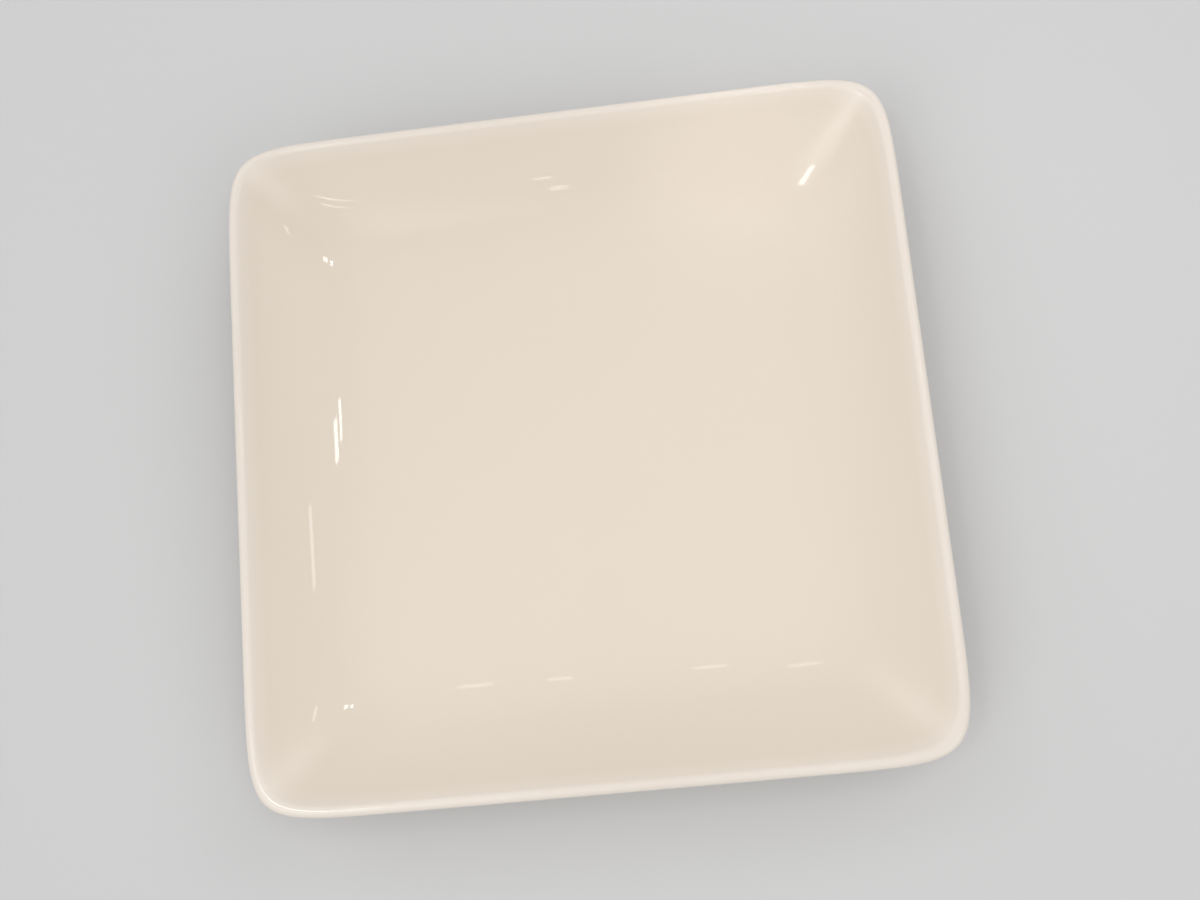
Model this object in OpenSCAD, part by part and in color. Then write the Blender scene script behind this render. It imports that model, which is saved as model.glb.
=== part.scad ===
// Square dish of glazed clay.
// One section runs from the middle of the well over the lip and back to the foot ring.
// It is swept round a rounded square plan, which shrinks towards the well without
// changing its form, so that neighbouring walls meet in soft mitres at the corners.
// Each coat of glaze lies on the skin of the clay beneath it.

/* [Rim] */
// Width across the sides, over the glazed lip
rim_w = 210; // [170:1:270]
// Squareness of the plan: a higher value has straighter sides and tighter corners
squareness = 13.6; // [8:0.1:20]
// Thickness of the clay at the lip, which is rounded over to half of it
lip_t = 3.2; // [2.4:0.1:4.4]

/* [Well] */
// Depth of the well, from the top of the lip to the floor
well_depth = 18; // [14:0.5:26]
// Breadth of the wall seen from above, from the edge of the flat floor to the rim
wall_run = 36; // [30:0.5:44]
// Radius of the bend from the floor into the wall
bend_r = 32; // [22:1:42]
// Lean of the wall where the bend ends and the flare begins, from level
bend_lean = 28; // [18:1:34]
// Thickness of the clay floor
floor_t = 4.6; // [3.4:0.1:6.4]

/* [Foot ring] */
// Height of the ring under the floor
foot_h = 3; // [2.4:0.1:6]
// Breadth of the ring over its rounded edges
foot_b = 4.8; // [3.4:0.1:8]
// Distance that the ring stands in from the edge of the flat floor
foot_inset = 4; // [3:0.5:14]
// Radius of the ring's two rounded standing edges
foot_edge_r = 0.7; // [0.3:0.1:1]
// Radius of the fillets where the ring runs into the floor
foot_fillet_r = 1.2; // [0.6:0.1:1.4]
// Draft of the ring's sides, which lean outwards as they rise
foot_draft = 8; // [0:1:20]

/* [Glaze] */
// Thickness of the fired glaze
glaze_t = 0.35; // [0.2:0.05:0.6]
// Height of the bare band between the rounded standing edge and the glaze
bare_h = 0.3; // [0.1:0.05:0.5]

/* [Hidden] */

// Steps in each quarter of the plan, and along each stretch of the section
plan_steps = 16;
bend_steps = 4;
flare_steps = 4;
lip_side_steps = 2;
lip_top_steps = 4;
edge_steps = 2;
fillet_steps = 3;

clay_colour = [0.80, 0.70, 0.58];
glaze_colour = [0.90, 0.86, 0.80];

// Middle of the clay where the floor begins to bend, and the centre of the bend's arc above it
well_half = rim_w / 2 - wall_run;
floor_mid_z = foot_h + floor_t / 2;
mid_bend_r = bend_r + glaze_t + floor_t / 2;

// Ends of the flare: where the bend hands over to it, and the centre of the rounded lip
flare_start = [
    well_half + mid_bend_r * sin(bend_lean),
    floor_mid_z + mid_bend_r * (1 - cos(bend_lean))
];
lip_centre = [
    rim_w / 2 - glaze_t - lip_t / 2,
    foot_h + floor_t + well_depth - lip_t / 2
];
flare_run = lip_centre.x - flare_start.x;
flare_rise = lip_centre.y - flare_start.y;

// Foot ring: its flat standing face ends at the land, inside the rounded edges
foot_half = well_half - foot_inset;
land_outer = foot_half - foot_edge_r;
land_inner = foot_half - foot_b + foot_edge_r;
glaze_line_z = foot_edge_r + bare_h;
fillet_r = min(foot_fillet_r, foot_h - glaze_line_z);

// A station of a section is [distance from the axis, height, normal outwards, normal upwards],
// with the distance measured at the middle of a side.
function station(point, normal) = [point.x, point.y, normal.x, normal.y];

// Skin of a run of stations, moved off the clay by a thickness
function skin(stations, off = 0) = [for (s = stations) [s[0] + off * s[2], s[1] + off * s[3]]];

function backwards(list) = [for (i = [len(list) - 1:-1:0]) list[i]];

// Angles of an arc from first to just short of last
function turns(first, last, steps) = [for (i = [0:steps - 1]) first + (last - first) * i / steps];

// The flare is a parabola that leaves the bend at bend_lean and steepens up to the lip
function flare_slope(share) =
    let (first = tan(bend_lean), last = 2 * flare_rise / flare_run - tan(bend_lean))
    first + (last - first) * share;

function flare_point(share) =
    flare_start + flare_run * share * [1, (flare_slope(0) + flare_slope(share)) / 2];

function clay_t(share) = floor_t + (lip_t - floor_t) * share;

// Stations of the bend and the flare, on the inside with side = 1 and on the outside with side = -1
function bend_stations(side) = [
    for (lean = turns(0, bend_lean, bend_steps))
        let (
            up = [-sin(lean), cos(lean)],
            middle = [well_half, floor_mid_z + mid_bend_r] - mid_bend_r * up
        )
        station(middle + side * up * floor_t / 2, side * up)
];

function flare_stations(side) = [
    for (share = turns(0, 1, flare_steps))
        let (
            lean = atan(flare_slope(share)),
            up = [-sin(lean), cos(lean)]
        )
        station(flare_point(share) + side * up * clay_t(share) / 2, side * up)
];

// The lip turns half way round its centre: up the inside, over the top and down to the outside
lip_lean = atan(flare_slope(1));
function lip_station(turn) =
    let (out = [cos(turn), sin(turn)])
    station(lip_centre + out * lip_t / 2, out);

lip_stations = [
    for (turn = concat(
        turns(90 + lip_lean, 90, lip_side_steps),
        turns(90, 0, lip_top_steps),
        turns(0, lip_lean - 90, lip_side_steps)
    ))
        lip_station(turn)
];
lip_end = lip_station(lip_lean - 90);

inside_stations = concat(bend_stations(1), flare_stations(1), lip_stations, [lip_end]);
outside_stations = concat(backwards(flare_stations(-1)), backwards(bend_stations(-1)));

// One side of the foot ring, from the floor down to its land, with facing = 1 on the outside
// and facing = -1 on the inside. The fillet hollows in, the side leans and the edge rounds off.
edge_end = [foot_edge_r * cos(foot_draft), foot_edge_r * (1 - sin(foot_draft))];
fillet_start_z = foot_h - fillet_r * (1 - sin(foot_draft));
fillet_start_x = edge_end.x + (fillet_start_z - edge_end.y) * tan(foot_draft);
fillet_centre = [fillet_start_x + fillet_r * cos(foot_draft), foot_h - fillet_r];

function foot_station(land, facing, point, normal) =
    station([land + facing * point.x, point.y], [facing * normal.x, normal.y]);

function fillet_stations(land, facing) = [
    for (turn = concat(turns(90, foot_draft, fillet_steps), [foot_draft]))
        let (out = [cos(turn), -sin(turn)])
        foot_station(land, facing, fillet_centre - fillet_r * out, out)
];

function line_station(land, facing) =
    foot_station(
        land, facing,
        [edge_end.x + (glaze_line_z - edge_end.y) * tan(foot_draft), glaze_line_z],
        [cos(foot_draft), -sin(foot_draft)]
    );

function edge_stations(land, facing) = [
    for (turn = concat(turns(90 - foot_draft, 0, edge_steps), [0]))
        let (out = [sin(turn), -cos(turn)])
        foot_station(land, facing, [0, foot_edge_r] + foot_edge_r * out, out)
];

// The glazed stretch of one side of the foot ring, from the floor to the glaze line
function glazed_side(land, facing) =
    concat(fillet_stations(land, facing), [line_station(land, facing)]);

// The rounded square plan with a half width of 1, a superellipse. Its points follow the direction
// that the side faces, with the steps drawn together where the side is all but straight.
function plan_point(facing) =
    let (
        x = pow(abs(cos(facing)), 1 / (squareness - 1)),
        y = pow(abs(sin(facing)), 1 / (squareness - 1)),
        size = pow(pow(x, squareness) + pow(y, squareness), -1 / squareness)
    )
    size * [sign(cos(facing)) * x, sign(sin(facing)) * y];

plan = [
    for (quarter = [0:3], i = [0:plan_steps - 1])
        plan_point(90 * quarter + 45 * (1 - cos(180 * i / plan_steps)))
];

// A section swept round the plan. It runs clockwise with the axis on its left: from the axis over
// the top and back to the axis below, or round a closed loop when the middle is open.
module swept(section, open_middle = false) {
    rings = len(section);
    around = len(plan);
    bands = [
        for (i = [0:rings - (open_middle ? 1 : 2)], j = [0:around - 1])
            let (
                this = i * around,
                next = (i + 1) % rings * around,
                beside = (j + 1) % around
            )
            [this + j, this + beside, next + beside, next + j]
    ];
    caps = open_middle ? [] : [
        [for (j = [around - 1:-1:0]) j],
        [for (j = [0:around - 1]) (rings - 1) * around + j]
    ];
    polyhedron(
        points = [for (s = section, p = plan) [s.x * p.x, s.x * p.y, s.y]],
        faces = concat(bands, caps),
        convexity = 6
    );
}

// Pressed clay: flat floor, bend, flared wall and rounded lip
module dish_body() {
    color(clay_colour)
        swept(concat(skin(inside_stations), skin(outside_stations)));
}

// Ring of clay under the floor, which ends in the flat face that the dish stands on
module foot_ring() {
    outer_side = concat(glazed_side(land_outer, 1), edge_stations(land_outer, 1));
    inner_side = concat(glazed_side(land_inner, -1), edge_stations(land_inner, -1));
    color(clay_colour)
        swept(concat(skin(outer_side), backwards(skin(inner_side))), open_middle = true);
}

// Liner coat over the floor, the walls and the lip
module inside_glaze() {
    color(glaze_colour)
        swept(concat(skin(inside_stations, glaze_t), backwards(skin(inside_stations))));
}

// Outer coat from under the lip to the glaze line on the outside of the foot ring
module outside_glaze() {
    coat = concat([lip_end], outside_stations, glazed_side(land_outer, 1));
    color(glaze_colour)
        swept(concat(skin(coat, glaze_t), backwards(skin(coat))), open_middle = true);
}

// Glazed panel under the floor, down to the glaze line on the inside of the foot ring
module underside_glaze() {
    coat = glazed_side(land_inner, -1);
    color(glaze_colour)
        swept(concat(skin(coat), backwards(skin(coat, glaze_t))));
}

dish_body();
foot_ring();
inside_glaze();
outside_glaze();
underside_glaze();
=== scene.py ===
import math

import bpy
import mathutils
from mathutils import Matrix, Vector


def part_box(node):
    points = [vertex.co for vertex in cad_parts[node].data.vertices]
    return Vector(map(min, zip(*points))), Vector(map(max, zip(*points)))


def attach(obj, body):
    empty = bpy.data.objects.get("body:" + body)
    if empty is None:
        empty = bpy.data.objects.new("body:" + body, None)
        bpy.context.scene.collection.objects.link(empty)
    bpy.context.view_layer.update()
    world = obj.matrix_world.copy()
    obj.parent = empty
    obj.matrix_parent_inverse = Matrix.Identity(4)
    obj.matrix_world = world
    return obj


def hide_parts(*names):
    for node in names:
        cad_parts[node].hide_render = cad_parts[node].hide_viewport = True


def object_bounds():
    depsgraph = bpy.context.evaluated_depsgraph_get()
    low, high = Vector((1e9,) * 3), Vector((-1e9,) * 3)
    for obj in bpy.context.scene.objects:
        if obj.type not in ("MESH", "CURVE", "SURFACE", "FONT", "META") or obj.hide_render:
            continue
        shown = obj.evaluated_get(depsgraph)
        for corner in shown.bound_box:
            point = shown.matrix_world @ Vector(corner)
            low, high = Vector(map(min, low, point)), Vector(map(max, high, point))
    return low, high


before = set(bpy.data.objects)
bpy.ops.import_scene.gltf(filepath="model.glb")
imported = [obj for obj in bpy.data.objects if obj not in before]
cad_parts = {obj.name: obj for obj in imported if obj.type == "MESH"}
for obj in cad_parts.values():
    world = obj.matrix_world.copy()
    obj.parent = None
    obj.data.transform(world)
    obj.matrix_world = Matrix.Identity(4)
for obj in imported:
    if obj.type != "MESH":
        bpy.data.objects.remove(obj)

cad_low, cad_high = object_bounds()

# Pressed clay.
# The dish itself is one slab of buff stoneware, pressed over a mould: a flat floor, a bend, and walls that
# flare up to a rounded lip. The glaze and the foot ring cover it all over.
clay_low, clay_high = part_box("dish_body")
glaze_t = cad_high.x - clay_high.x
clay_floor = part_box("inside_glaze")[0].z
floor_t = clay_floor - clay_low.z
lip_t = 0.0032
wall_run = 0.036
bend_r = 0.032
bend_lean = math.radians(28)
squareness = 13.6

floor_rings = 26
bend_rings = 14
flare_rings = 22
lip_side_rings = 7
lip_top_rings = 12
points_round = 320
corner_share = 0.12
merge_within = 2e-6
crisp_angle = math.radians(50)
ripple_seed = 7.0

clay_buff = (0.60, 0.45, 0.30, 1)
clay_pale = (0.68, 0.54, 0.39, 1)
grog_brown = (0.20, 0.12, 0.07, 1)
clay_tooth = 0.0001

well_half = cad_high.x - wall_run
middle_z = clay_floor - floor_t / 2
middle_bend_r = bend_r + glaze_t + floor_t / 2
flare_start = (
    well_half + middle_bend_r * math.sin(bend_lean),
    middle_z + middle_bend_r * (1 - math.cos(bend_lean)),
)
lip_centre = (clay_high.x - lip_t / 2, clay_high.z - lip_t / 2)
flare_run = lip_centre[0] - flare_start[0]
flare_rise = lip_centre[1] - flare_start[1]
slope_at_bend = math.tan(bend_lean)
slope_at_lip = 2 * flare_rise / flare_run - slope_at_bend
lip_lean = math.atan(slope_at_lip)


def steps(first, last, count):
    """count values from first on, evenly spaced, that stop one short of last."""
    return [first + (last - first) * i / count for i in range(count)]


def wall_stations(side):
    """Stations of the bend and the flare, on the inside with side 1 and on the outside with side -1.

    A station is (distance from the axis, height, normal outwards, normal upwards).
    """
    stations = []
    for lean in steps(0, bend_lean, bend_rings):
        out, up = -math.sin(lean), math.cos(lean)
        x = well_half - middle_bend_r * out
        z = middle_z + middle_bend_r * (1 - up)
        half = side * floor_t / 2
        stations.append((x + half * out, z + half * up, side * out, side * up))
    for share in steps(0, 1, flare_rings):
        slope = slope_at_bend + (slope_at_lip - slope_at_bend) * share
        out, up = -math.sin(math.atan(slope)), math.cos(math.atan(slope))
        x = flare_start[0] + flare_run * share
        z = flare_start[1] + flare_run * share * (slope_at_bend + slope) / 2
        half = side * (floor_t + (lip_t - floor_t) * share) / 2
        stations.append((x + half * out, z + half * up, side * out, side * up))
    return stations


def lip_station(turn):
    """A station on the clay's rounded lip, turn radians above the level."""
    out, up = math.cos(turn), math.sin(turn)
    return (lip_centre[0] + lip_t / 2 * out, lip_centre[1] + lip_t / 2 * up, out, up)


half_turn = math.pi
quarter_turn = math.pi / 2
lip_turns = (
    steps(quarter_turn + lip_lean, quarter_turn, lip_side_rings)
    + steps(quarter_turn, 0, lip_top_rings)
    + steps(0, lip_lean - quarter_turn, lip_side_rings)
)
lip_end = lip_station(lip_lean - quarter_turn)
inside_wall = wall_stations(1) + [lip_station(turn) for turn in lip_turns] + [lip_end]
outside_wall = wall_stations(-1)[::-1]


def skin(stations, off=0.0):
    """The points of a run of stations, moved off the clay by a thickness."""
    return [(x + off * out, z + off * up) for x, z, out, up in stations]


def across_floor(height, count):
    """Points from the axis to just short of the edge of the flat floor, at one height."""
    return [(x, height) for x in steps(0, well_half, count)]


def sums_in(tree):
    """A function that adds a sum of sockets and numbers to a node tree, and gives its result."""

    def sum_of(operation, *values):
        node = tree.nodes.new("ShaderNodeMath")
        node.operation = operation
        for socket, value in zip(node.inputs, values):
            if isinstance(value, (int, float)):
                socket.default_value = value
            else:
                tree.links.new(value, socket)
        return node.outputs[0]

    return sum_of


def sweep_tree():
    """Geometry Nodes that sweep a section line round the rounded square plan, and ripple its outer skin."""
    tree = bpy.data.node_groups.new("sweep_round_square_plan", "GeometryNodeTree")
    link = tree.links.new
    for name, kind in (
        ("Section", "NodeSocketGeometry"),
        ("Squareness", "NodeSocketFloat"),
        ("Points Round", "NodeSocketInt"),
        ("Ripple Depth", "NodeSocketFloat"),
        ("Ripple Size", "NodeSocketFloat"),
        ("Ripple Seed", "NodeSocketFloat"),
        ("Finish", "NodeSocketMaterial"),
    ):
        tree.interface.new_socket(name, in_out="INPUT", socket_type=kind)
    tree.interface.new_socket("Piece", in_out="OUTPUT", socket_type="NodeSocketGeometry")
    given = tree.nodes.new("NodeGroupInput").outputs
    made = tree.nodes.new("NodeGroupOutput").inputs

    sum_of = sums_in(tree)

    def sampled(kind, value, index):
        node = tree.nodes.new("GeometryNodeSampleIndex")
        node.data_type = kind
        link(given["Section"], node.inputs["Geometry"])
        link(value, node.inputs["Value"])
        link(index, node.inputs["Index"])
        return node.outputs["Value"]

    # A tube with one ring of points for each point of the section line
    size = tree.nodes.new("GeometryNodeAttributeDomainSize")
    link(given["Section"], size.inputs["Geometry"])
    last_ring = sum_of("SUBTRACT", size.outputs["Point Count"], 1)
    tube = tree.nodes.new("GeometryNodeMeshCylinder")
    tube.fill_type = "NONE"
    tube.inputs["Radius"].default_value = 1
    tube.inputs["Depth"].default_value = 2
    link(given["Points Round"], tube.inputs["Vertices"])
    link(last_ring, tube.inputs["Side Segments"])
    place = tree.nodes.new("ShaderNodeSeparateXYZ")
    link(tree.nodes.new("GeometryNodeInputPosition").outputs[0], place.inputs[0])

    # Direction from the axis, drawn together near the corners of the plan
    turn = sum_of("ARCTAN2", place.outputs["Y"], place.outputs["X"])
    quarters = sum_of("DIVIDE", turn, quarter_turn)
    quarter = sum_of("FLOOR", quarters)
    across = sum_of("MULTIPLY_ADD", sum_of("SUBTRACT", quarters, quarter), 2, -1)
    eased = sum_of(
        "MULTIPLY_ADD",
        sum_of("MULTIPLY", sum_of("MULTIPLY", across, across), across),
        1 - corner_share,
        sum_of("MULTIPLY", across, corner_share),
    )
    facing = sum_of(
        "MULTIPLY_ADD",
        sum_of("MULTIPLY_ADD", eased, 0.5, 0.5),
        quarter_turn,
        sum_of("MULTIPLY", quarter, quarter_turn),
    )
    east = sum_of("COSINE", facing)
    north = sum_of("SINE", facing)

    # Superellipse: how far out the plan lies in that direction
    reach = sum_of(
        "POWER",
        sum_of(
            "ADD",
            sum_of("POWER", sum_of("ABSOLUTE", east), given["Squareness"]),
            sum_of("POWER", sum_of("ABSOLUTE", north), given["Squareness"]),
        ),
        sum_of("DIVIDE", -1, given["Squareness"]),
    )

    # Each ring takes its distance and height from its own point of the section line
    down = sum_of("MULTIPLY", sum_of("SUBTRACT", 1, place.outputs["Z"]), sum_of("MULTIPLY", last_ring, 0.5))
    ring = sum_of("ROUND", down)
    line_place = tree.nodes.new("GeometryNodeInputPosition").outputs[0]
    section = tree.nodes.new("ShaderNodeSeparateXYZ")
    link(sampled("FLOAT_VECTOR", line_place, ring), section.inputs[0])
    out = sum_of("MULTIPLY", section.outputs["X"], reach)
    swept_place = tree.nodes.new("ShaderNodeCombineXYZ")
    link(sum_of("MULTIPLY", out, east), swept_place.inputs["X"])
    link(sum_of("MULTIPLY", out, north), swept_place.inputs["Y"])
    link(section.outputs["Z"], swept_place.inputs["Z"])

    # Each ring also takes how free the skin lies, how far its glaze runs thinner, where it is painted paler
    # as a highlight, and how deep it gathers, where it is painted darker as shade
    geometry = tube.outputs["Mesh"]
    for name in ("free_skin", "run_thin_and_highlit", "pooled_and_shaded"):
        named = tree.nodes.new("GeometryNodeInputNamedAttribute")
        named.data_type = "FLOAT"
        named.inputs["Name"].default_value = name
        store = tree.nodes.new("GeometryNodeStoreNamedAttribute")
        store.data_type = "FLOAT"
        store.inputs["Name"].default_value = name
        link(geometry, store.inputs["Geometry"])
        link(sampled("FLOAT", named.outputs["Attribute"], ring), store.inputs["Value"])
        geometry = store.outputs["Geometry"]
    set_place = tree.nodes.new("GeometryNodeSetPosition")
    link(geometry, set_place.inputs["Geometry"])
    link(swept_place.outputs[0], set_place.inputs["Position"])
    merge = tree.nodes.new("GeometryNodeMergeByDistance")
    merge.inputs["Distance"].default_value = merge_within
    link(set_place.outputs["Geometry"], merge.inputs["Geometry"])

    # The free skin sinks a little, unevenly, as molten glaze does
    noise = tree.nodes.new("ShaderNodeTexNoise")
    noise.noise_dimensions = "4D"
    noise.inputs["Detail"].default_value = 1
    link(given["Ripple Seed"], noise.inputs["W"])
    link(sum_of("DIVIDE", 1, given["Ripple Size"]), noise.inputs["Scale"])
    free = tree.nodes.new("GeometryNodeInputNamedAttribute")
    free.data_type = "FLOAT"
    free.inputs["Name"].default_value = "free_skin"
    sink = sum_of(
        "MULTIPLY",
        sum_of("MULTIPLY", noise.outputs["Fac"], given["Ripple Depth"]),
        sum_of("MULTIPLY", free.outputs["Attribute"], -1),
    )
    offset = tree.nodes.new("ShaderNodeVectorMath")
    offset.operation = "SCALE"
    link(tree.nodes.new("GeometryNodeInputNormal").outputs[0], offset.inputs[0])
    link(sink, offset.inputs["Scale"])
    ripple = tree.nodes.new("GeometryNodeSetPosition")
    link(merge.outputs["Geometry"], ripple.inputs["Geometry"])
    link(offset.outputs["Vector"], ripple.inputs["Offset"])

    # Smooth all over, but crisp where a coat ends
    smooth = tree.nodes.new("GeometryNodeSetShadeSmooth")
    smooth.domain = "FACE"
    link(ripple.outputs["Geometry"], smooth.inputs["Geometry"])
    crisp = tree.nodes.new("GeometryNodeSetShadeSmooth")
    crisp.domain = "EDGE"
    crisp.inputs["Shade Smooth"].default_value = False
    angle = tree.nodes.new("GeometryNodeInputMeshEdgeAngle")
    link(sum_of("GREATER_THAN", angle.outputs["Unsigned Angle"], crisp_angle), crisp.inputs["Selection"])
    link(smooth.outputs["Geometry"], crisp.inputs["Geometry"])
    whole = tree.nodes.new("GeometryNodeRealizeInstances")
    link(crisp.outputs["Geometry"], whole.inputs["Geometry"])
    finish = tree.nodes.new("GeometryNodeSetMaterial")
    link(whole.outputs["Geometry"], finish.inputs["Geometry"])
    link(given["Finish"], finish.inputs["Material"])
    link(finish.outputs["Geometry"], made["Piece"])
    return tree


sweep = sweep_tree()


def swept_piece(name, section, finish, free=None, thin_and_highlit=None, pooled_and_shaded=None, ripple_depth=0.0, ripple_size=0.03):
    """A plain mesh piece, swept round the plan from a section line of points.

    A point is (distance from the axis, height), measured at the middle of a side.
    """
    line = bpy.data.meshes.new(name + "_section")
    line.from_pydata([(x, 0, z) for x, z in section], [(i, i + 1) for i in range(len(section) - 1)], [])
    # The shares of gathered and of thinner glaze carry painted shade in the bend and a painted highlight on
    # the lip
    for attribute, values in (("free_skin", free), ("run_thin_and_highlit", thin_and_highlit), ("pooled_and_shaded", pooled_and_shaded)):
        layer = line.attributes.new(attribute, "FLOAT", "POINT")
        layer.data.foreach_set("value", values or [0.0] * len(section))
    drawn = bpy.data.objects.new(name + "_section", line)
    bpy.context.scene.collection.objects.link(drawn)
    modifier = drawn.modifiers.new("sweep", "NODES")
    modifier.node_group = sweep
    sockets = {item.name: item.identifier for item in sweep.interface.items_tree if item.in_out == "INPUT"}
    modifier[sockets["Squareness"]] = squareness
    modifier[sockets["Points Round"]] = points_round
    modifier[sockets["Ripple Depth"]] = ripple_depth
    modifier[sockets["Ripple Size"]] = ripple_size
    modifier[sockets["Ripple Seed"]] = ripple_seed
    modifier[sockets["Finish"]] = finish
    made = drawn.evaluated_get(bpy.context.evaluated_depsgraph_get())
    piece = bpy.data.objects.new(name, bpy.data.meshes.new_from_object(made))
    piece.data.name = name
    bpy.context.scene.collection.objects.link(piece)
    bpy.data.objects.remove(drawn)
    return piece


def soft_noise(group, size, detail):
    """Even noise over the piece's own coordinates, with clouds of one size."""
    node = group.nodes.new("ShaderNodeTexNoise")
    node.inputs["Scale"].default_value = 1 / size
    node.inputs["Detail"].default_value = detail
    place = group.nodes.new("ShaderNodeTexCoord").outputs["Object"]
    group.links.new(place, node.inputs["Vector"])
    return node.outputs["Fac"]


def clay_grain_group():
    """Bare fired clay: two close tones in soft clouds, dark specks, and the fine tooth of grog."""
    group = bpy.data.node_groups.new("clay_grain", "ShaderNodeTree")
    link = group.links.new
    for name in ("Clay", "Pale Clay"):
        group.interface.new_socket(name, in_out="INPUT", socket_type="NodeSocketColor")
    group.interface.new_socket("Colour", in_out="OUTPUT", socket_type="NodeSocketColor")
    group.interface.new_socket("Roughness", in_out="OUTPUT", socket_type="NodeSocketFloat")
    group.interface.new_socket("Tooth", in_out="OUTPUT", socket_type="NodeSocketFloat")
    given = group.nodes.new("NodeGroupInput").outputs
    made = group.nodes.new("NodeGroupOutput").inputs
    cloud_size = 0.006
    grog_size = 0.0022
    speck_core, speck_edge = 0.10, 0.20
    speck_strength = 0.55
    tooth_size = 0.0007
    least_roughness, most_roughness = 0.72, 0.92

    clouds = group.nodes.new("ShaderNodeMix")
    clouds.data_type = "RGBA"
    link(soft_noise(group, cloud_size, detail=4), clouds.inputs["Factor"])
    link(given["Clay"], clouds.inputs["A"])
    link(given["Pale Clay"], clouds.inputs["B"])
    grog = group.nodes.new("ShaderNodeTexVoronoi")
    grog.inputs["Scale"].default_value = 1 / grog_size
    link(group.nodes.new("ShaderNodeTexCoord").outputs["Object"], grog.inputs["Vector"])
    speck = group.nodes.new("ShaderNodeMapRange")
    speck.inputs["From Min"].default_value = speck_core
    speck.inputs["From Max"].default_value = speck_edge
    speck.inputs["To Min"].default_value = speck_strength
    speck.inputs["To Max"].default_value = 0.0
    link(grog.outputs["Distance"], speck.inputs["Value"])
    speckled = group.nodes.new("ShaderNodeMix")
    speckled.data_type = "RGBA"
    speckled.inputs["B"].default_value = grog_brown
    link(speck.outputs["Result"], speckled.inputs["Factor"])
    link(clouds.outputs["Result"], speckled.inputs["A"])
    link(speckled.outputs["Result"], made["Colour"])
    rough = group.nodes.new("ShaderNodeMapRange")
    rough.inputs["To Min"].default_value = least_roughness
    rough.inputs["To Max"].default_value = most_roughness
    fine = soft_noise(group, tooth_size, detail=6)
    link(fine, rough.inputs["Value"])
    link(rough.outputs["Result"], made["Roughness"])
    link(fine, made["Tooth"])
    return group


clay_grain = clay_grain_group()


def clay_finish(name, clay, pale, tooth):
    """A material of bare clay, with its own two tones and depth of tooth."""
    material = bpy.data.materials.new(name)
    material.use_nodes = True
    nodes, link = material.node_tree.nodes, material.node_tree.links.new
    shader = nodes["Principled BSDF"]
    grain = nodes.new("ShaderNodeGroup")
    grain.node_tree = clay_grain
    grain.inputs["Clay"].default_value = clay
    grain.inputs["Pale Clay"].default_value = pale
    bump = nodes.new("ShaderNodeBump")
    bump.inputs["Distance"].default_value = tooth
    link(grain.outputs["Tooth"], bump.inputs["Height"])
    link(grain.outputs["Colour"], shader.inputs["Base Color"])
    link(grain.outputs["Roughness"], shader.inputs["Roughness"])
    link(bump.outputs["Normal"], shader.inputs["Normal"])
    return material


clay_section = (
    across_floor(clay_floor, 1)
    + skin(inside_wall)
    + skin(outside_wall)
    + across_floor(clay_low.z, 1)
)
pressed_clay = swept_piece(
    "pressed_clay",
    clay_section,
    clay_finish("pressed_clay_finish", clay_buff, clay_pale, clay_tooth),
)
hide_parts("dish_body")
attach(pressed_clay, "root")

# Foot ring.
# A square ring of the same clay, luted under the floor while both are leather hard, its joint smoothed into
# a fillet. Its standing face is wiped clean of glaze, so that the bare clay shows there.
foot_h = clay_low.z
foot_b = 0.0048
foot_inset = 0.004
foot_edge_r = 0.0007
foot_fillet_r = 0.0012
foot_draft = math.radians(8)
bare_h = 0.0003
fillet_rings = 8
edge_rings = 6

wiped_buff = (0.64, 0.49, 0.34, 1)
wiped_pale = (0.74, 0.61, 0.46, 1)
wiped_tooth = 0.00012

land_outer = well_half - foot_inset - foot_edge_r
land_inner = well_half - foot_inset - foot_b + foot_edge_r
edge_end = (foot_edge_r * math.cos(foot_draft), foot_edge_r * (1 - math.sin(foot_draft)))
glaze_line = foot_edge_r + bare_h
fillet_start_z = foot_h - foot_fillet_r * (1 - math.sin(foot_draft))
fillet_start_x = edge_end[0] + (fillet_start_z - edge_end[1]) * math.tan(foot_draft)
fillet_centre = (fillet_start_x + foot_fillet_r * math.cos(foot_draft), foot_h - foot_fillet_r)


def foot_station(land, facing, x, z, out, up):
    """A station of the ring's side, facing 1 on its outside and -1 on its inside."""
    return (land + facing * x, z, facing * out, up)


def glazed_side(land, facing):
    """Stations from the floor down the fillet and the ring's side to the line where the glaze ends."""
    stations = []
    for turn in steps(quarter_turn, foot_draft, fillet_rings) + [foot_draft]:
        out, up = math.cos(turn), -math.sin(turn)
        x = fillet_centre[0] - foot_fillet_r * out
        z = fillet_centre[1] - foot_fillet_r * up
        stations.append(foot_station(land, facing, x, z, out, up))
    x = edge_end[0] + (glaze_line - edge_end[1]) * math.tan(foot_draft)
    stations.append(foot_station(land, facing, x, glaze_line, math.cos(foot_draft), -math.sin(foot_draft)))
    return stations


def standing_edge(land, facing):
    """Stations of the rounded edge, from the ring's side down to its flat standing face."""
    stations = []
    for turn in steps(quarter_turn - foot_draft, 0, edge_rings) + [0]:
        out, up = math.sin(turn), -math.cos(turn)
        stations.append(foot_station(land, facing, foot_edge_r * out, foot_edge_r * (1 + up), out, up))
    return stations


ring_outside = glazed_side(land_outer, 1) + standing_edge(land_outer, 1)
ring_inside = glazed_side(land_inner, -1) + standing_edge(land_inner, -1)
ring_section = skin(ring_outside) + skin(ring_inside)[::-1]
ring_section.append(ring_section[0])
luted_foot_ring = swept_piece(
    "luted_foot_ring",
    ring_section,
    clay_finish("wiped_foot_finish", wiped_buff, wiped_pale, wiped_tooth),
)
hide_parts("foot_ring")
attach(luted_foot_ring, "root")
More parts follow.
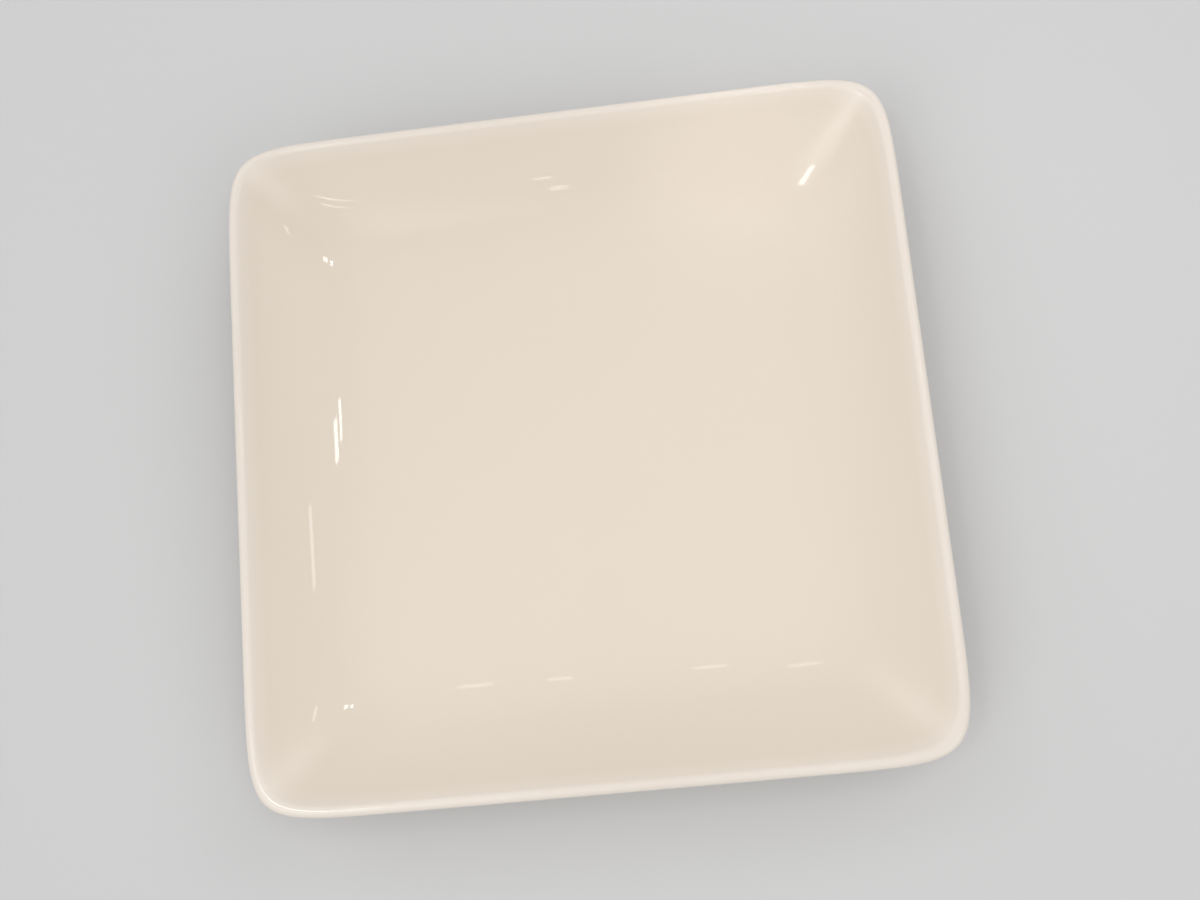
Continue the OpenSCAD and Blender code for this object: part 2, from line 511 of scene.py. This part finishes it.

# Liner glaze.
# The glossy ivory coat over the well, the walls and the lip. It is poured in and swilled round, melts level
# in the kiln, gathers a little in the bend and runs thinner over the lip. Its colour is darker and warmer in
# the bend, partly as painted shade, and paler over the lip, partly as a painted highlight on the rounded lip.
# The gathered tone is darker and warmer, partly as painted shade in the bend, and the lip's tone paler,
# partly as a painted highlight on the rounded lip
ivory = (0.750, 0.670, 0.570, 1)
ivory_pooled_and_shaded = (0.742, 0.655, 0.555, 1)
ivory_thin_and_highlit = (0.805, 0.735, 0.672, 1)
glaze_ior = 1.5
cloud_breadth = 0.028
gloss_patch_breadth = 0.009
peel_breadth = 0.0035


def fired_glaze_group():
    """Fired glaze: its colour where even, where gathered deep with painted shade and where run thinner with a
    painted highlight, faint clouds, its gloss and its orange peel.
    """
    group = bpy.data.node_groups.new("fired_glaze", "ShaderNodeTree")
    link = group.links.new
    for name in ("Even", "Pooled And Shaded", "Thin And Highlit"):
        group.interface.new_socket(name, in_out="INPUT", socket_type="NodeSocketColor")
    group.interface.new_socket("Cloud Strength", in_out="INPUT", socket_type="NodeSocketFloat")
    group.interface.new_socket("Least Roughness", in_out="INPUT", socket_type="NodeSocketFloat")
    group.interface.new_socket("Most Roughness", in_out="INPUT", socket_type="NodeSocketFloat")
    group.interface.new_socket("Colour", in_out="OUTPUT", socket_type="NodeSocketColor")
    group.interface.new_socket("Roughness", in_out="OUTPUT", socket_type="NodeSocketFloat")
    group.interface.new_socket("Peel", in_out="OUTPUT", socket_type="NodeSocketFloat")
    given = group.nodes.new("NodeGroupInput").outputs
    made = group.nodes.new("NodeGroupOutput").inputs

    def share(name):
        node = group.nodes.new("ShaderNodeAttribute")
        node.attribute_name = name
        return node.outputs["Fac"]

    def mix(factor, first, second):
        node = group.nodes.new("ShaderNodeMix")
        node.data_type = "RGBA"
        link(factor, node.inputs["Factor"])
        link(first, node.inputs["A"])
        link(second, node.inputs["B"])
        return node.outputs["Result"]

    # The colour is darker where the glaze gathers, as painted shade, and paler where it runs thinner, as a
    # painted highlight
    tone = mix(share("pooled_and_shaded"), given["Even"], given["Pooled And Shaded"])
    tone = mix(share("run_thin_and_highlit"), tone, given["Thin And Highlit"])
    clouds = group.nodes.new("ShaderNodeMath")
    clouds.operation = "MULTIPLY"
    link(soft_noise(group, cloud_breadth, detail=3), clouds.inputs[0])
    link(given["Cloud Strength"], clouds.inputs[1])
    link(mix(clouds.outputs[0], tone, given["Pooled And Shaded"]), made["Colour"])
    rough = group.nodes.new("ShaderNodeMapRange")
    link(soft_noise(group, gloss_patch_breadth, detail=3), rough.inputs["Value"])
    link(given["Least Roughness"], rough.inputs["To Min"])
    link(given["Most Roughness"], rough.inputs["To Max"])
    link(rough.outputs["Result"], made["Roughness"])
    link(soft_noise(group, peel_breadth, detail=2), made["Peel"])
    return group


fired_glaze = fired_glaze_group()


def glaze_finish(name, clouds, roughness, peel):
    """A material of ivory glaze, with its own strength of clouds, range of gloss and depth of orange peel."""
    material = bpy.data.materials.new(name)
    material.use_nodes = True
    nodes, link = material.node_tree.nodes, material.node_tree.links.new
    shader = nodes["Principled BSDF"]
    shader.inputs["IOR"].default_value = glaze_ior
    coat = nodes.new("ShaderNodeGroup")
    coat.node_tree = fired_glaze
    coat.inputs["Even"].default_value = ivory
    coat.inputs["Pooled And Shaded"].default_value = ivory_pooled_and_shaded
    coat.inputs["Thin And Highlit"].default_value = ivory_thin_and_highlit
    coat.inputs["Cloud Strength"].default_value = clouds
    coat.inputs["Least Roughness"].default_value = roughness[0]
    coat.inputs["Most Roughness"].default_value = roughness[1]
    bump = nodes.new("ShaderNodeBump")
    bump.inputs["Distance"].default_value = peel
    link(coat.outputs["Peel"], bump.inputs["Height"])
    link(coat.outputs["Colour"], shader.inputs["Base Color"])
    link(coat.outputs["Roughness"], shader.inputs["Roughness"])
    link(bump.outputs["Normal"], shader.inputs["Normal"])
    return material


liner_outer = across_floor(clay_floor + glaze_t, floor_rings) + skin(inside_wall, glaze_t)
liner_inner = (across_floor(clay_floor, 1) + skin(inside_wall))[::-1]
# From here out to the lip the glaze is painted paler, partly as a highlight on the rounded lip
thin_and_highlit_from = 0.0985
thin_and_highlit_breadth = 0.0045


def run_thin_and_highlit(points):
    """How far the glaze has run thinner at each point, where it is painted paler as a highlight: 0 up to near
    the lip, then rising to 1 on it.
    """
    return [max(0.0, min(1.0, (x - thin_and_highlit_from) / thin_and_highlit_breadth)) for x, z in points]


# Darker and warmer in the bend, as gathered glaze and partly as painted shade
liner_pooled_and_shaded = [0.0] * floor_rings + [
    math.sin(half_turn * min(1, i / (2 * bend_rings))) for i in range(len(liner_outer) - floor_rings)
]
liner_glaze = swept_piece(
    "liner_glaze",
    liner_outer + liner_inner,
    glaze_finish("liner_glaze_finish", clouds=0.5, roughness=(0.015, 0.04), peel=0.0000015),
    free=[1.0] * (len(liner_outer) - 1) + [0.0] * (len(liner_inner) + 1),
    thin_and_highlit=run_thin_and_highlit(liner_outer + liner_inner),
    pooled_and_shaded=liner_pooled_and_shaded + [0.0] * len(liner_inner),
    ripple_depth=0.00006,
    ripple_size=0.035,
)
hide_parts("inside_glaze")
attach(liner_glaze, "root")

# Outer glaze.
# The same glaze over the outside, put on after the liner. It meets the liner under the lip and stops at a
# clean line on the foot ring's side.
outer_stations = [lip_end] + outside_wall + glazed_side(land_outer, 1)
outer_skin = skin(outer_stations, glaze_t)
outer_inner = skin(outer_stations)[::-1]
# The outer coat too is painted paler near the lip, partly as a highlight on the rounded lip
outer_glaze = swept_piece(
    "outer_glaze",
    outer_skin + outer_inner + outer_skin[:1],
    glaze_finish("outer_glaze_finish", clouds=0.7, roughness=(0.09, 0.15), peel=0.000006),
    free=[0.0] + [1.0] * (len(outer_skin) - 2) + [0.0] * (len(outer_inner) + 2),
    thin_and_highlit=run_thin_and_highlit(outer_skin + outer_inner + outer_skin[:1]),
    ripple_depth=0.00006,
    ripple_size=0.03,
)
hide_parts("outside_glaze")
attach(outer_glaze, "root")

# Underside glaze.
# The panel inside the foot ring, brushed over before firing, which keeps the foot's hollow washable.
under_stations = glazed_side(land_inner, -1)
under_edge = under_stations[0][0]
under_inner = [(0, foot_h)] + skin(under_stations)
under_skin = (
    [(x, foot_h - glaze_t) for x in steps(0, under_edge, floor_rings)] + skin(under_stations, glaze_t)
)[::-1]
underside = swept_piece(
    "underside_panel_glaze",
    under_inner + under_skin,
    glaze_finish("underside_glaze_finish", clouds=0.8, roughness=(0.10, 0.18), peel=0.000008),
    free=[0.0] * (len(under_inner) + 1) + [1.0] * (len(under_skin) - 1),
    ripple_depth=0.00008,
    ripple_size=0.03,
)
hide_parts("underside_glaze")
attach(underside, "root")

# Floor, light and camera.
# A plain pale floor in a pale room, lit by a wide softbox overhead and small ones near the dish. Small soft
# lamps show in the glaze as highlights. The camera looks steeply down, a little from the front and the right.
floor_mesh = bpy.data.meshes.new("studio_floor")
floor_half = 3.0
floor_grey = (0.62, 0.62, 0.62, 1)
floor_roughness = 0.8
floor_corners = [(-1, -1), (1, -1), (1, 1), (-1, 1)]
floor_mesh.from_pydata([(x * floor_half, y * floor_half, 0) for x, y in floor_corners], [], [(0, 1, 2, 3)])
studio_floor = bpy.data.objects.new("studio_floor", floor_mesh)
bpy.context.scene.collection.objects.link(studio_floor)
floor_finish = bpy.data.materials.new("studio_floor_finish")
floor_finish.use_nodes = True
floor_shader = floor_finish.node_tree.nodes["Principled BSDF"]
floor_shader.inputs["Base Color"].default_value = floor_grey
floor_shader.inputs["Roughness"].default_value = floor_roughness
floor_mesh.materials.append(floor_finish)

# The room grows darker from the horizon up, with a soft glow in each of its four corners and one at the left
room = bpy.data.worlds.new("studio_room")
bpy.context.scene.world = room
room.use_nodes = True
room_nodes, room_link = room.node_tree.nodes, room.node_tree.links.new
background = room_nodes["Background"]
background.inputs["Color"].default_value = (1, 1, 1, 1)
looking = room_nodes.new("ShaderNodeTexCoord").outputs["Generated"]
seen = room_nodes.new("ShaderNodeSeparateXYZ")
room_link(looking, seen.inputs[0])
horizon_level = 0.60
overhead_change = -0.32
corner_glow = 29
left_glow = 1.2
left_glow_edge = 0.90
left_glow_towards = mathutils.Vector((-0.55, -0.35, 1.0)).normalized()
room_sum = sums_in(room.node_tree)
level = room_sum("MULTIPLY_ADD", seen.outputs["Z"], overhead_change, horizon_level)
corner = room_sum("MULTIPLY", room_sum("MULTIPLY", seen.outputs["X"], seen.outputs["Y"]), seen.outputs["Z"])
level = room_sum("MULTIPLY_ADD", room_sum("MULTIPLY", corner, corner), corner_glow, level)
nearness = room_nodes.new("ShaderNodeVectorMath")
nearness.operation = "DOT_PRODUCT"
room_link(looking, nearness.inputs[0])
nearness.inputs[1].default_value = left_glow_towards
glow = room_nodes.new("ShaderNodeMapRange")
glow.interpolation_type = "SMOOTHSTEP"
glow.inputs["From Min"].default_value = left_glow_edge
glow.inputs["To Max"].default_value = left_glow
room_link(nearness.outputs["Value"], glow.inputs["Value"])
room_link(room_sum("ADD", level, glow.outputs["Result"]), background.inputs["Strength"])


def lamp(name, place, size, radiance, turn=0.0, aim=(0.0, 0.0, 0.0), beam=half_turn):
    """A rectangular lamp with its size along x and y, aimed at a point. A radiance of 1 is plain white.

    A grid in front of it can narrow its beam to an angle, with the same radiance in the middle of the beam.
    """
    data = bpy.data.lights.new(name, "AREA")
    data.shape = "RECTANGLE"
    data.size, data.size_y = size
    data.spread = beam
    grid_gain = 1.0 if beam == half_turn else math.tan(beam / 2) / (math.tan(beam / 2) - beam / 2)
    data.energy = radiance * half_turn * size[0] * size[1] / grid_gain
    back = (mathutils.Vector(place) - mathutils.Vector(aim)).normalized()
    along_x = (mathutils.Vector((1, 0, 0)) - back * back.x).normalized()
    axes = mathutils.Matrix((along_x, back.cross(along_x), back)).transposed()
    lamp_object = bpy.data.objects.new(name, data)
    lamp_object.location = place
    lamp_object.rotation_euler = axes.to_euler()
    lamp_object.rotation_euler.rotate_axis("Z", math.radians(turn))
    bpy.context.scene.collection.objects.link(lamp_object)
    return lamp_object


# The softboxes and the pool of light at the far right are left out of the glaze's reflections, which show
# only the room and the small lamps
pool_beam = math.radians(15)
for softbox in (
    lamp("overhead_softbox", (0.46, -0.07, 2.0), (1.2, 1.2), 1.68),
    lamp("near_softbox", (0.108, 0.085, 0.19), (0.12, 0.12), 0.68),
    lamp("low_left_softbox", (-0.080, -0.080, 0.11), (0.08, 0.08), 0.48),
    lamp("low_right_softbox", (0.074, -0.072, 0.11), (0.08, 0.08), 0.38),
    lamp("pool_far_right", (0.058, 0.090, 0.35), (0.03, 0.03), 60, aim=(0.058, 0.090, 0.0), beam=pool_beam),
):
    softbox.visible_glossy = False
    softbox.visible_camera = False
lamp("ceiling_strip_near", (0.365, 0.632, 2.395), (0.11, 0.085), 9.0)
lamp("ceiling_strip_far", (0.600, 0.592, 2.361), (0.17, 0.09), 9.0)
lamp("side_spot", (-0.78, -0.150, 2.35), (0.28, 0.46), 7.0, turn=-31)
lamp("side_strip", (1.571, 0.386, 1.906), (0.10, 0.17), 3.0)
front_strip_size = (0.035, 0.08)
for number, (x, radiance) in enumerate(((-0.217, 3.0), (0.0, 1.5))):
    lamp(f"front_strip_low_{number}", (x - 0.02, -1.52, 1.97), front_strip_size, radiance)
    lamp(f"front_strip_high_{number}", (x + 0.01, -1.235, 2.165), front_strip_size, radiance)

# Narrow beams lay four dashes along the lower bend and a pair high on the upper wall, which the flat floor
# doesn't mirror. Each has the point that it is aimed at, its place and its length.
low_beam, low_depth, low_radiance = math.radians(5), 0.012, 2.9
high_beam, high_depth, high_radiance = math.radians(10), 0.0016, 5.5
for number, (aim, place, length) in enumerate((
    ((-0.0389, -0.0701, 0.0080), (-0.0740, -0.0444, 0.2032), 0.016),
    ((-0.0130, -0.0704, 0.0080), (-0.0364, -0.0410, 0.2044), 0.011),
    ((0.0322, -0.0711, 0.0080), (0.0296, -0.0340, 0.2045), 0.016),
    ((0.0612, -0.0729, 0.0082), (0.0666, -0.0128, 0.1989), 0.009),
)):
    low_dash = lamp(f"low_dash_{number}", place, (length, low_depth), low_radiance, aim=aim, beam=low_beam)
    low_dash.visible_camera = False
for number, (aim, place, length) in enumerate((
    ((-0.0745, 0.0888, 0.0148), (-0.0869, 0.0256, 0.0913), 0.006),
    ((-0.0745, 0.0870, 0.0137), (-0.0845, 0.0311, 0.0960), 0.005),
)):
    high_dash = lamp(
        f"high_dash_{number}", place, (length, high_depth), high_radiance, aim=aim, beam=high_beam
    )
    high_dash.visible_camera = False

# The camera stands above the lip, tilted about x, y and z
camera_right, camera_back, camera_above_lip = 0.0378, -0.0957, 0.4145
camera_tilt = (11.87, 5.40, -5.02)
camera_data = bpy.data.cameras.new("camera")
camera_data.sensor_width = 36
camera_data.lens = 42.7
camera = bpy.data.objects.new("camera", camera_data)
camera.location = (camera_right, camera_back, lip_centre[1] + camera_above_lip)
camera.rotation_euler = [math.radians(angle) for angle in camera_tilt]
bpy.context.scene.collection.objects.link(camera)
bpy.context.scene.camera = camera
bpy.context.scene.view_settings.view_transform = "Standard"
